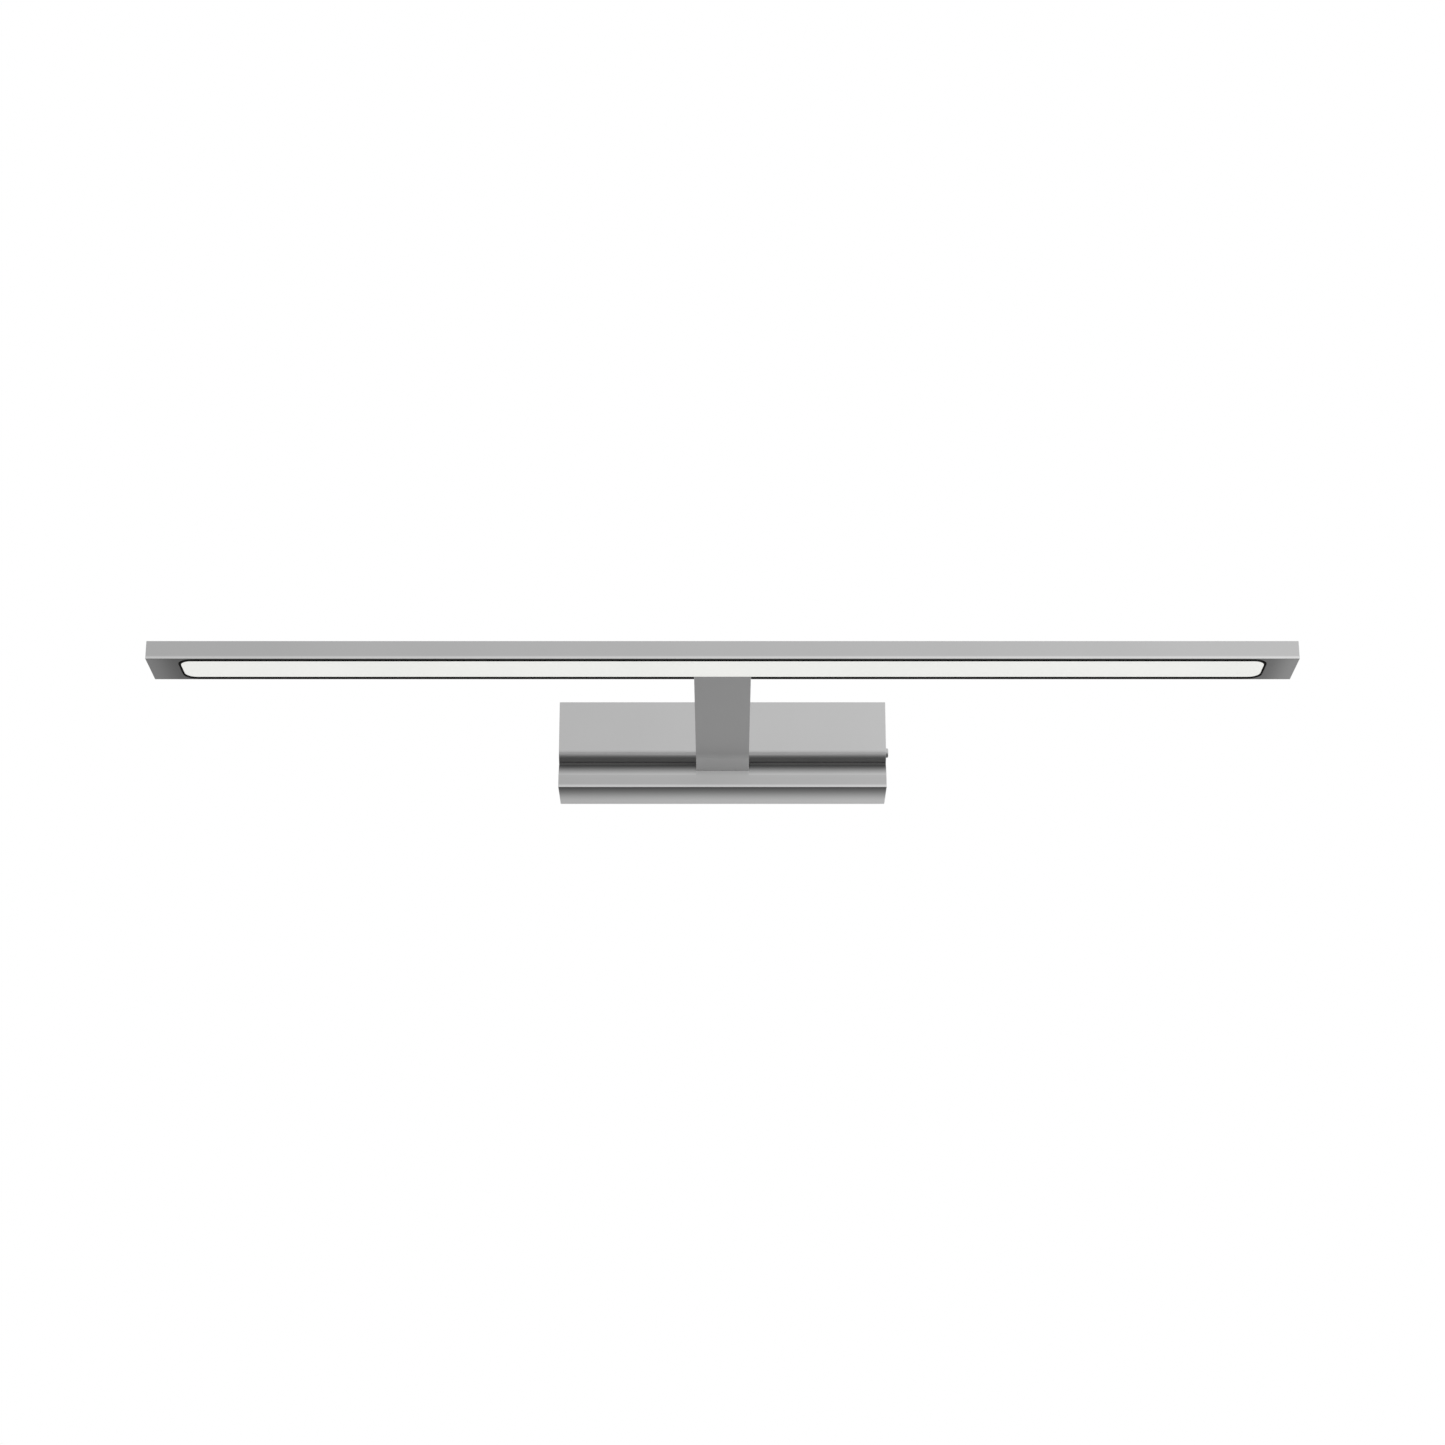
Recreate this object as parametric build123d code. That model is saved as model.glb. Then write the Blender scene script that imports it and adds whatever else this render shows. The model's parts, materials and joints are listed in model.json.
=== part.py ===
from build123d import *
from dataclasses import dataclass
import os

# A wall light for use above a mirror: a long flat bar with a lit window in its underside,
# carried by one flat arm on a small wall box. Sizes are in millimetres.
# The origin is the centre of the wall box's back, +Z is up and the light faces -Y.

# Bar
BAR_LENGTH = 600.0
BAR_DEPTH = 30.0
BAR_HEIGHT = 10.0
PROJECTION = 208.0              # wall to the bar's front face
UNDERSIDE_Z = -16.0             # underside of the bar and of the arm
EDGE_BREAK = 0.15               # broken edges of the bar, arm and wall box
WINDOW_LENGTH = 568.0
WINDOW_DEPTH = 28.0
WINDOW_CORNER = 7.0
WINDOW_RECESS = 2.5             # seat depth of the diffuser
DIFFUSER_LENGTH = 565.6
DIFFUSER_DEPTH = 22.6
DIFFUSER_CORNER = 5.8
CAVITY_LENGTH = 560.0
CAVITY_DEPTH = 18.0
CAVITY_CORNER = 3.0
CAVITY_HEIGHT = 5.0
FIT_GAP = 0.05                  # gap all round between parts that fit into each other
LOOSE_GAP = 0.1                 # gap all round between parts that slide or are threaded through
CUT_START = 0.01                # how far outside a surface the cut into it starts
NEAR = 0.001                    # closer than this to a plane counts as on it

# Light source
BOARD_LENGTH = 548.0
BOARD_WIDTH = 12.0
BOARD_THICKNESS = 1.0
TAPE_THICKNESS = 0.3
TAPE_MARGIN = 0.5               # how far the tape stays inside the board's edges
CHIP_COUNT = 68
CHIP_PITCH = 8.0
CHIP_SIZE = (3.5, 2.8, 0.7)
RESISTOR_COUNT = 22
RESISTOR_PITCH = 24.0
RESISTOR_SIZE = (2.0, 1.2, 0.5)
RESISTOR_OFFSET = 4.2           # from the board's centre line towards the front

# Arm
ARM_WIDTH = 30.0
ARM_WALL = 1.5
ARM_NOTCH = 3.5                 # how far the arm's end is let into the bar's rear edge
FRONT_BLOCK_LENGTH = 15.0
REAR_BLOCK_LENGTH = 20.0
BLOCK_SCREW_X = 9.0
BLOCK_SCREW_LENGTH = 10.0
SLEEVE_LENGTH = 18.5
SLEEVE_PROUD = 0.5              # how far the front sleeve stands into the light cavity
SLEEVE_RADIUS = 2.2
SLEEVE_BORE_RADIUS = 1.65

# Low-voltage leads; each pair of values is for the positive and the negative lead
LEAD_RADIUS = 0.75
LEAD_BEND = 2.3
LEAD_X = (-0.85, 0.85)
LEAD_START_Y = -190.0           # on the light board
LEAD_RISE_Y = -187.2            # where the leads turn up to the arm's level
LEAD_LEVEL_Y = -185.0           # where they reach it
LEAD_RUN_Y = (-12.0, -9.6)      # across the wall box
LEAD_COLUMN_X = (-86.9, -89.2)  # up the wall box's side
LEAD_ENTRY_Z = (7.0, 10.5)      # into the power supply
LEAD_END_X = -79.0

# Wall box
BOX_WIDTH = 188.0
BOX_HEIGHT = 52.0
BOX_DEPTH = 30.0
BOX_WALL = 1.8
BOX_CORNER = 0.35
GROOVE_DEPTH = 4.0
GROOVE_TOP_Z = -8.0             # where the front face would meet the groove's upper side
GROOVE_FLOOR_TOP_Z = -9.7
GROOVE_FLOOR_BOTTOM_Z = -11.2
GROOVE_BOTTOM_Z = -18.3         # where the front face would meet the groove's lower side
UPPER_LIP_RADIUS = 6.4
LOWER_LIP_RADIUS = 5.0
INLAY_THICKNESS = 0.8
SADDLE_HEIGHT = 5.0             # of the fill under the arm, below its underside

# Arm plate inside the wall box
PLATE_WIDTH = 56.0
PLATE_TOP_Z = 9.0
PLATE_BOTTOM_Z = -21.0
PLATE_THICKNESS = 2.5
PLATE_CORNER = 3.0
PLATE_FRONT_Y = -19.2
PLATE_SCREW_X = 22.0
PLATE_SCREW_LENGTH = 5.5
BOSS_RADIUS = 3.5
BOSS_HOLE_DEPTH = 3.4
BOSS_ROOT = 1.0                 # how far bosses run into the wall that carries them
UPPER_BOSS_Z = 5.0

# Wall bracket
BRACKET_WIDTH = 172.0
BRACKET_HEIGHT = 42.0
BRACKET_THICKNESS = 1.5
BRACKET_CORNER = 3.0
TAB_X = 60.0
TAB_WIDTH = 16.0
TAB_REACH = 11.0
LOCK_SCREW_Y = -6.0
LOCK_SCREW_LENGTH = 4.5
SLOT_X = 60.0
SLOT_LENGTH = 14.0
SLOT_WIDTH = 4.5
CABLE_X = 40.0
CABLE_Z = -11.0
CABLE_HOLE_RADIUS = 7.0
GROMMET_FLANGE_RADIUS = 9.0
GROMMET_FLANGE_THICKNESS = 2.0
GROMMET_ROUNDING = 0.8
GROMMET_BORE_RADIUS = 4.5

# Terminal block
TERMINAL_X = 42.0
TERMINAL_WIDTH = 24.0
TERMINAL_BOTTOM_Z = 3.0
TERMINAL_TOP_Z = 17.0
TERMINAL_DEPTH = 12.0
TERMINAL_CHAMFER = 1.0
TERMINAL_PITCH = 8.0
CLAMP_SIZE = 5.0
CLAMP_BORE_RADIUS = 1.5
CLAMP_Y = -6.5
CLAMP_INSET = 1.5               # from the block's ends to the clamps' ends
CLAMP_SCREW_RADIUS = 1.25
CLAMP_SCREW_SUNK = 1.0          # below the block's front
CLAMP_SLOT = (1.2, 0.5)         # depth and width of the screwdriver slot
SCREW_WELL_RADIUS = 1.75
CLAMP_SCREW_Z = (6.5, 13.5)
EAR_LENGTH = 6.0
EAR_THICKNESS = 3.0
EAR_SCREW_LENGTH = 4.3

# Earth connection
EARTH_X = 10.0
EARTH_Z = 15.0
TAG_RADIUS = 4.2
TAG_THICKNESS = 0.8
TAG_BARREL_RADIUS = 1.6
TAG_BARREL_Y = -3.4
TAG_BARREL_X = (15.0, 20.0)
EARTH_SCREW_LENGTH = 2.2

# Power supply
CASE_X = (-84.0, -35.0)
CASE_Z = (0.4, 23.4)
CASE_Y = (-27.4, -13.0)
CASE_WALL = 1.2
CASE_CORNER = 1.0
PILLAR_INSET = 4.2              # from the case's outside to the board pillars
PILLAR_RADIUS = 1.2
LID_THICKNESS = 1.5
LID_RIM_DEPTH = 1.0
FOAM_MARGIN = (4.0, 3.0)        # how far the foam tape stays inside the case
CIRCUIT_Y = -24.4
CIRCUIT_THICKNESS = 1.2
CIRCUIT_GAP = 0.2
TRANSFORMER_X = -60.0
TRANSFORMER_Z = 11.9
TRANSFORMER_CORE = (15.0, 9.0, 12.0)
CORE_WINDOW = (10.0, 8.0)
LEG_WIDTH = 4.0
LEG_LENGTH = 9.0
WINDING_SIZE = (9.6, 8.6, 7.8)
WINDING_CORNER = 2.0
CAPACITOR_X = -44.5
CAPACITOR_Z = (7.4, 15.6)
CAPACITOR_RADIUS = 3.6
CAPACITOR_HEIGHT = 8.6
CAPACITOR_ROUNDING = 0.6
POWER_CHIPS = ((-74.0, 7.0, 5.0, 4.0), (-74.0, 16.5, 4.0, 5.0), (-51.2, 20.2, 3.0, 2.4))
POWER_CHIP_HEIGHT = 1.6

# Switch
SWITCH_Y = -15.0
SWITCH_BASE_X = (76.0, 79.0)
SWITCH_BODY_END_X = 88.2
SWITCH_HALF_DEPTH = 5.5
SWITCH_HALF_HEIGHT = 6.5
CHAMBER_END_X = 82.0
PARTITION_END_X = 83.2
CHAMBER_HALF = 4.0
SWITCH_FLANGE_X = 86.2
SWITCH_FLANGE_HALF = 12.0
SWITCH_FLANGE_CORNER = 2.0
SWITCH_SCREW_Z = 9.0
SWITCH_SCREW_LENGTH = 5.0
SWITCH_BOSS_RADIUS = 2.2
COLLAR_RADIUS = 5.0
SWITCH_BORE_RADIUS = 3.8
BUTTON_RADIUS = 2.75
BUTTON_HOLE_RADIUS = 2.85
BUTTON_PROUD = 2.0
BUTTON_ROUNDING = 0.6
BUTTON_FLANGE_RADIUS = 3.6
BUTTON_FLANGE_THICKNESS = 1.25
STEM_RADIUS = 1.5
STEM_END_X = 81.0
BRIDGE_SIZE = (0.6, 7.0, 3.0)
BLADE_SIZE = (8.5, 2.4, 0.8)
BLADE_TIP_X = 79.5
BLADE_Z = 2.6
SPRING_RADIUS = 2.4
SPRING_WIRE_RADIUS = 0.25
SPRING_TURNS = 5

# Mains wires inside the wall box
WIRE_RADIUS = 0.8
WIRE_BEND = 2.5
WIRE_LEVEL_Z = 20.0
SWITCHED_WIRE_Z = 6.0
CLAMP_ENTRY_Z = 12.0
WIRE_GAP_X = -30.0              # between the arm plate and the power supply
SUPPLY_ENTRY_X = -39.0
EARTH_LOOP_X = 27.0
EARTH_LOOP_Y = -12.0
EARTH_END_X = 16.0              # inside the tag's barrel
LIVE_DROP_X = 66.0
SWITCHED_DROP_X = 63.0
SWITCHED_RUN_Y = -10.0
SWITCH_WIRE_BEND = 2.2

# Screws
CLEARANCE = 0.15                # from a screw to the hole it passes through
HEAD_ROUNDING = 0.4             # share of the head's height
RECESS_LENGTH = 1.1             # share of the head's radius
RECESS_WIDTH = 0.24             # share of the head's radius


@dataclass(frozen=True)
class ScrewSize:
    """Radii and head height of a pan-head screw."""

    shank: float
    head: float
    head_height: float

    @property
    def tapped(self):
        """Radius of the hole the screw is threaded into."""
        return self.shank + FIT_GAP

    @property
    def clear(self):
        """Radius of the hole the screw passes through."""
        return self.shank + CLEARANCE


M2 = ScrewSize(0.95, 1.9, 1.3)
M2_5 = ScrewSize(1.2, 2.2, 1.6)
M3 = ScrewSize(1.45, 2.75, 1.9)
M4 = ScrewSize(1.95, 3.6, 2.4)

# Places that several sub-parts share
BAR_FRONT_Y = -PROJECTION
BAR_REAR_Y = BAR_FRONT_Y + BAR_DEPTH
BAR_CENTRE_Y = BAR_FRONT_Y + BAR_DEPTH / 2
TOP_Z = UNDERSIDE_Z + BAR_HEIGHT
ARM_CENTRE_Z = UNDERSIDE_Z + BAR_HEIGHT / 2
ARM_FRONT_Y = BAR_REAR_Y - ARM_NOTCH
CAVITY_FLOOR_Z = UNDERSIDE_Z + WINDOW_RECESS
CAVITY_TOP_Z = CAVITY_FLOOR_Z + CAVITY_HEIGHT
CAVITY_REAR_Y = BAR_CENTRE_Y + CAVITY_DEPTH / 2
BOX_SIDE_INNER_X = BOX_WIDTH / 2 - BOX_WALL
BOX_TOP_INNER_Z = BOX_HEIGHT / 2 - BOX_WALL
GROOVE_FLOOR_Y = -BOX_DEPTH + GROOVE_DEPTH
PLATE_BACK_Y = PLATE_FRONT_Y + PLATE_THICKNESS
TERMINAL_FRONT_Y = -BRACKET_THICKNESS - TERMINAL_DEPTH
BOARD_LOWER_Z = CAVITY_TOP_Z - TAPE_THICKNESS - BOARD_THICKNESS
CIRCUIT_TOP_Y = CIRCUIT_Y + CIRCUIT_THICKNESS
BLADE_END_X = BLADE_TIP_X - BLADE_SIZE[0]


def block(x, y, z):
    """A box between two values on each axis."""
    size = (x[1] - x[0], y[1] - y[0], z[1] - z[0])
    centre = (sum(x) / 2, sum(y) / 2, sum(z) / 2)
    return Pos(*centre) * Box(*size)


def rod(radius, length, start, direction):
    """A cylinder from a start point along a direction."""
    axis = Plane(origin=start, z_dir=direction)
    upright = Cylinder(radius, length, align=(Align.CENTER, Align.CENTER, Align.MIN))
    return axis.location * upright


def rounded_slab(length, depth, corner, bottom_z, top_z):
    """A slab under the bar's centre line with rounded vertical corners."""
    base = Pos(0, BAR_CENTRE_Y, bottom_z)
    return base * extrude(RectangleRounded(length, depth, corner), top_z - bottom_z)


def pan_screw(size, length, seat, facing):
    """A cross-recess screw whose head sits on the seat point and faces outwards."""
    shank = Cylinder(size.shank, length, align=(Align.CENTER, Align.CENTER, Align.MAX))
    head = Cylinder(size.head, size.head_height, align=(Align.CENTER, Align.CENTER, Align.MIN))
    head = fillet(head.edges().sort_by(Axis.Z)[-1], size.head_height * HEAD_ROUNDING)
    screw = shank + head
    for angle in (0, 90):
        slot = Box(size.head * RECESS_LENGTH, size.head * RECESS_WIDTH, size.head_height)
        screw -= Pos(0, 0, size.head_height) * Rot(0, 0, angle) * slot
    return Plane(origin=seat, z_dir=facing).location * screw


def wire(points, radius, bend=WIRE_BEND):
    """A round wire along straight runs joined by tangent bends."""
    path = FilletPolyline(*points, radius=bend)
    section = Plane(origin=path @ 0, z_dir=path % 0) * Circle(radius)
    return sweep(section, path)


def group(pieces):
    """Separate solids kept together in one node."""
    return Compound(children=list(pieces))


# Bar ---------------------------------------------------------------------------------------

def bar_housing():
    """The bar's aluminium body with its window, light cavity and arm seat."""
    body = block(
        (-BAR_LENGTH / 2, BAR_LENGTH / 2), (BAR_FRONT_Y, BAR_REAR_Y), (UNDERSIDE_Z, TOP_Z)
    )
    body = chamfer(body.edges(), EDGE_BREAK)
    body -= rounded_slab(WINDOW_LENGTH, WINDOW_DEPTH, WINDOW_CORNER, UNDERSIDE_Z, CAVITY_FLOOR_Z)
    body -= rounded_slab(
        CAVITY_LENGTH, CAVITY_DEPTH, CAVITY_CORNER, CAVITY_FLOOR_Z, CAVITY_TOP_Z
    )
    half_notch = ARM_WIDTH / 2 + FIT_GAP
    body -= block((-half_notch, half_notch), (ARM_FRONT_Y, BAR_REAR_Y), (UNDERSIDE_Z, TOP_Z))
    wall = ARM_FRONT_Y - CAVITY_REAR_Y
    for x in (-BLOCK_SCREW_X, BLOCK_SCREW_X):
        body -= rod(M2_5.clear, wall, (x, CAVITY_REAR_Y, ARM_CENTRE_Z), (0, 1, 0))
    body -= rod(SLEEVE_RADIUS + FIT_GAP, wall, (0, CAVITY_REAR_Y, ARM_CENTRE_Z), (0, 1, 0))
    return body


def diffuser_gasket():
    """The black seal between the window's edge and the diffuser, notched for the arm."""
    outer = rounded_slab(
        WINDOW_LENGTH - 2 * FIT_GAP,
        WINDOW_DEPTH - 2 * FIT_GAP,
        WINDOW_CORNER - FIT_GAP,
        UNDERSIDE_Z,
        CAVITY_FLOOR_Z,
    )
    inner = rounded_slab(
        DIFFUSER_LENGTH + 2 * FIT_GAP,
        DIFFUSER_DEPTH + 2 * FIT_GAP,
        DIFFUSER_CORNER + FIT_GAP,
        UNDERSIDE_Z,
        CAVITY_FLOOR_Z,
    )
    half_notch = ARM_WIDTH / 2 + FIT_GAP
    notch = block(
        (-half_notch, half_notch),
        (ARM_FRONT_Y - FIT_GAP, BAR_REAR_Y),
        (UNDERSIDE_Z, CAVITY_FLOOR_Z),
    )
    return outer - inner - notch


def diffuser():
    """The opal cover, with a softly rounded lower rim."""
    plate = rounded_slab(
        DIFFUSER_LENGTH, DIFFUSER_DEPTH, DIFFUSER_CORNER, UNDERSIDE_Z, CAVITY_FLOOR_Z
    )
    return fillet(plate.faces().sort_by(Axis.Z)[0].edges(), EDGE_BREAK)


def led_board():
    """The aluminium-backed circuit strip that carries the light chips."""
    top = CAVITY_TOP_Z - TAPE_THICKNESS
    return block(
        (-BOARD_LENGTH / 2, BOARD_LENGTH / 2),
        (BAR_CENTRE_Y - BOARD_WIDTH / 2, BAR_CENTRE_Y + BOARD_WIDTH / 2),
        (top - BOARD_THICKNESS, top),
    )


def thermal_tape():
    """The heat-conducting tape between the board and the bar's top wall."""
    half_length = BOARD_LENGTH / 2 - TAPE_MARGIN
    half_width = BOARD_WIDTH / 2 - TAPE_MARGIN
    return block(
        (-half_length, half_length),
        (BAR_CENTRE_Y - half_width, BAR_CENTRE_Y + half_width),
        (CAVITY_TOP_Z - TAPE_THICKNESS, CAVITY_TOP_Z),
    )


def board_row(count, pitch, size, y):
    """A row of equal components on the board's lower face, centred on the bar."""
    first = -(count - 1) * pitch / 2
    z = BOARD_LOWER_Z - size[2] / 2
    return group(Pos(first + i * pitch, y, z) * Box(*size) for i in range(count))


def led_chips():
    """The row of light chips along the board's middle."""
    return board_row(CHIP_COUNT, CHIP_PITCH, CHIP_SIZE, BAR_CENTRE_Y)


def led_resistors():
    """One resistor for every three chips, in a row in front of them."""
    y = BAR_CENTRE_Y - RESISTOR_OFFSET
    return board_row(RESISTOR_COUNT, RESISTOR_PITCH, RESISTOR_SIZE, y)


# Arm ---------------------------------------------------------------------------------------

def arm_section(inset, corner):
    """The arm's outline, pulled in by an inset, on a plane across the arm."""
    outline = RectangleRounded(ARM_WIDTH - 2 * inset, BAR_HEIGHT - 2 * inset, corner)
    return Plane.XZ * Pos(0, ARM_CENTRE_Z) * outline


def along_y(section, start, end):
    """A section on the XZ plane extruded from one Y value to a larger one."""
    return Pos(0, end, 0) * extrude(section, end - start)


def arm_tube():
    """The flat hollow arm from the bar's cavity wall to the plate in the wall box."""
    outer = along_y(arm_section(0, EDGE_BREAK), ARM_FRONT_Y, PLATE_FRONT_Y)
    hollow = along_y(arm_section(ARM_WALL, EDGE_BREAK), ARM_FRONT_Y, PLATE_FRONT_Y)
    return outer - hollow


def arm_block(start, end, screw_size, screw_from, direction):
    """A solid plug in the arm's end, drilled for two screws and the lead sleeve."""
    plug = along_y(arm_section(ARM_WALL + FIT_GAP, EDGE_BREAK), start, end)
    for x in (-BLOCK_SCREW_X, BLOCK_SCREW_X):
        plug -= rod(screw_size.tapped, BLOCK_SCREW_LENGTH, (x, screw_from, ARM_CENTRE_Z), direction)
    return plug - rod(SLEEVE_RADIUS + FIT_GAP, end - start, (0, start, ARM_CENTRE_Z), (0, 1, 0))


def arm_front_block():
    """The plug that the bar is screwed to."""
    end = ARM_FRONT_Y + FRONT_BLOCK_LENGTH
    return arm_block(ARM_FRONT_Y, end, M2_5, ARM_FRONT_Y, (0, 1, 0))


def arm_rear_block():
    """The plug that the arm plate is screwed to."""
    start = PLATE_FRONT_Y - REAR_BLOCK_LENGTH
    return arm_block(start, PLATE_FRONT_Y, M3, PLATE_FRONT_Y, (0, -1, 0))


def arm_front_screws():
    """Two screws from the light cavity through the bar's rear wall into the arm."""
    return group(
        pan_screw(M2_5, BLOCK_SCREW_LENGTH, (x, CAVITY_REAR_Y, ARM_CENTRE_Z), (0, -1, 0))
        for x in (-BLOCK_SCREW_X, BLOCK_SCREW_X)
    )


def arm_rear_screws():
    """Two screws from inside the wall box through the plate into the arm."""
    return group(
        pan_screw(M3, BLOCK_SCREW_LENGTH, (x, PLATE_BACK_Y, ARM_CENTRE_Z), (0, 1, 0))
        for x in (-BLOCK_SCREW_X, BLOCK_SCREW_X)
    )


def wire_sleeves():
    """Soft sleeves that guard the leads at both ends of the arm."""
    starts = (CAVITY_REAR_Y - SLEEVE_PROUD, PLATE_BACK_Y - SLEEVE_LENGTH)
    return group(
        rod(SLEEVE_RADIUS, SLEEVE_LENGTH, (0, y, ARM_CENTRE_Z), (0, 1, 0))
        - rod(SLEEVE_BORE_RADIUS, SLEEVE_LENGTH, (0, y, ARM_CENTRE_Z), (0, 1, 0))
        for y in starts
    )


def light_lead(index):
    """A lead from the light board through the arm to the power supply's far end."""
    x = LEAD_X[index]
    run_y = LEAD_RUN_Y[index]
    column_x = LEAD_COLUMN_X[index]
    entry_z = LEAD_ENTRY_Z[index]
    board_z = BOARD_LOWER_Z - LEAD_RADIUS
    circuit_y = CIRCUIT_TOP_Y + LEAD_RADIUS
    points = [
        (x, LEAD_START_Y, board_z),
        (x, LEAD_RISE_Y, board_z),
        (x, LEAD_LEVEL_Y, ARM_CENTRE_Z),
        (x, run_y, ARM_CENTRE_Z),
        (column_x, run_y, ARM_CENTRE_Z),
        (column_x, run_y, entry_z),
        (column_x, circuit_y, entry_z),
        (LEAD_END_X, circuit_y, entry_z),
    ]
    return wire(points, LEAD_RADIUS, LEAD_BEND)


def lead_positive():
    """The lead on the arm's left."""
    return light_lead(0)


def lead_negative():
    """The lead on the arm's right."""
    return light_lead(1)


# Wall box ----------------------------------------------------------------------------------

def box_outline(back_y):
    """The wall box's side view: a front face with a soft groove along it."""
    half = BOX_HEIGHT / 2
    upper_lip = (-BOX_DEPTH, GROOVE_TOP_Z)
    lower_lip = (-BOX_DEPTH, GROOVE_BOTTOM_Z)
    front_corners = [(-BOX_DEPTH, half), (-BOX_DEPTH, -half)]
    outline = make_face(
        Polyline(
            (back_y, half),
            front_corners[0],
            upper_lip,
            (GROOVE_FLOOR_Y, GROOVE_FLOOR_TOP_Z),
            (GROOVE_FLOOR_Y, GROOVE_FLOOR_BOTTOM_Z),
            lower_lip,
            front_corners[1],
            (back_y, -half),
            close=True,
        )
    )
    roundings = [
        (upper_lip, UPPER_LIP_RADIUS),
        (lower_lip, LOWER_LIP_RADIUS),
        (front_corners[0], BOX_CORNER),
        (front_corners[1], BOX_CORNER),
    ]
    for corner, radius in roundings:
        vertex = outline.vertices().sort_by_distance((*corner, 0))[0]
        outline = fillet(vertex, radius)
    return outline


def across(section, half_width):
    """A side-view section extruded to both sides of the middle plane."""
    return extrude(Plane.YZ * section, half_width, both=True)


def box_solid():
    """The wall box's outside as a solid, with its front and side edges broken."""
    solid = across(box_outline(0), BOX_WIDTH / 2)
    rim = [
        edge
        for face in (solid.faces().sort_by(Axis.X)[0], solid.faces().sort_by(Axis.X)[-1])
        for edge in face.edges()
        if edge.center().Y < -NEAR
    ]
    return chamfer(rim, EDGE_BREAK)


def arm_plate_bosses():
    """The four bosses inside the wall box that the arm plate is screwed to."""
    bosses = []
    for x in (-PLATE_SCREW_X, PLATE_SCREW_X):
        for z, wall_y in ((UPPER_BOSS_Z, -BOX_DEPTH), (ARM_CENTRE_Z, GROOVE_FLOOR_Y)):
            root_y = wall_y + BOSS_ROOT
            bosses.append(rod(BOSS_RADIUS, PLATE_FRONT_Y - root_y, (x, root_y, z), (0, 1, 0)))
    return bosses


def switch_bosses():
    """The two bosses on the side wall that the switch is screwed to."""
    length = BOX_SIDE_INNER_X - SWITCH_BODY_END_X + BOSS_ROOT
    return [
        rod(SWITCH_BOSS_RADIUS, length, (SWITCH_BODY_END_X, SWITCH_Y, z), (1, 0, 0))
        for z in (-SWITCH_SCREW_Z, SWITCH_SCREW_Z)
    ]


def canopy_shell():
    """The wall box's cover: open to the wall, with a slot for the arm and its fixings.

    Under the arm the groove's lower side is filled flush with the front face.
    """
    shell = box_solid()
    hollow = offset(box_outline(BOX_WALL), -BOX_WALL, kind=Kind.INTERSECTION)
    shell -= across(hollow, BOX_SIDE_INNER_X)
    shell -= block(
        (-BOX_WIDTH / 2, BOX_WIDTH / 2),
        (GROOVE_FLOOR_Y - CUT_START, GROOVE_FLOOR_Y + INLAY_THICKNESS),
        (GROOVE_FLOOR_BOTTOM_Z, GROOVE_FLOOR_TOP_Z),
    )
    for boss in arm_plate_bosses() + switch_bosses():
        shell += boss
    half_slot = ARM_WIDTH / 2 + FIT_GAP
    shell += block(
        (-half_slot, half_slot),
        (-BOX_DEPTH, GROOVE_FLOOR_Y),
        (UNDERSIDE_Z - SADDLE_HEIGHT, UNDERSIDE_Z),
    )
    shell -= block(
        (-half_slot, half_slot),
        (-BOX_DEPTH, PLATE_FRONT_Y),
        (UNDERSIDE_Z - FIT_GAP, TOP_Z + FIT_GAP),
    )
    for x in (-PLATE_SCREW_X, PLATE_SCREW_X):
        for z in (UPPER_BOSS_Z, ARM_CENTRE_Z):
            shell -= rod(M3.tapped, BOSS_HOLE_DEPTH, (x, PLATE_FRONT_Y, z), (0, -1, 0))
    for z in (-SWITCH_SCREW_Z, SWITCH_SCREW_Z):
        shell -= rod(M2.tapped, SWITCH_SCREW_LENGTH, (SWITCH_BODY_END_X, SWITCH_Y, z), (1, 0, 0))
    for x in (-TAB_X, TAB_X):
        shell -= rod(M3.clear, BOX_WALL, (x, LOCK_SCREW_Y, BOX_TOP_INNER_Z), (0, 0, 1))
    return shell - rod(BUTTON_HOLE_RADIUS, BOX_WALL, (BOX_SIDE_INNER_X, SWITCH_Y, 0), (1, 0, 0))


def groove_inlay():
    """The dark strip on the groove's floor, in two lengths beside the arm."""
    inner = ARM_WIDTH / 2 + FIT_GAP
    outer = BOX_WIDTH / 2 - EDGE_BREAK
    depth = (GROOVE_FLOOR_Y, GROOVE_FLOOR_Y + INLAY_THICKNESS)
    height = (GROOVE_FLOOR_BOTTOM_Z + FIT_GAP, GROOVE_FLOOR_TOP_Z - FIT_GAP)
    return group(block(span, depth, height) for span in ((-outer, -inner), (inner, outer)))


def arm_mount_plate():
    """The steel plate that ties the arm to the wall box."""
    plate = block(
        (-PLATE_WIDTH / 2, PLATE_WIDTH / 2),
        (PLATE_FRONT_Y, PLATE_BACK_Y),
        (PLATE_BOTTOM_Z, PLATE_TOP_Z),
    )
    plate = fillet(plate.edges().filter_by(Axis.Y), PLATE_CORNER)
    holes = [(x, z) for x in (-PLATE_SCREW_X, PLATE_SCREW_X) for z in (UPPER_BOSS_Z, ARM_CENTRE_Z)]
    holes += [(-BLOCK_SCREW_X, ARM_CENTRE_Z), (BLOCK_SCREW_X, ARM_CENTRE_Z)]
    for x, z in holes:
        plate -= rod(M3.clear, PLATE_THICKNESS, (x, PLATE_FRONT_Y, z), (0, 1, 0))
    sleeve_hole = SLEEVE_RADIUS + FIT_GAP
    return plate - rod(sleeve_hole, PLATE_THICKNESS, (0, PLATE_FRONT_Y, ARM_CENTRE_Z), (0, 1, 0))


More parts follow.
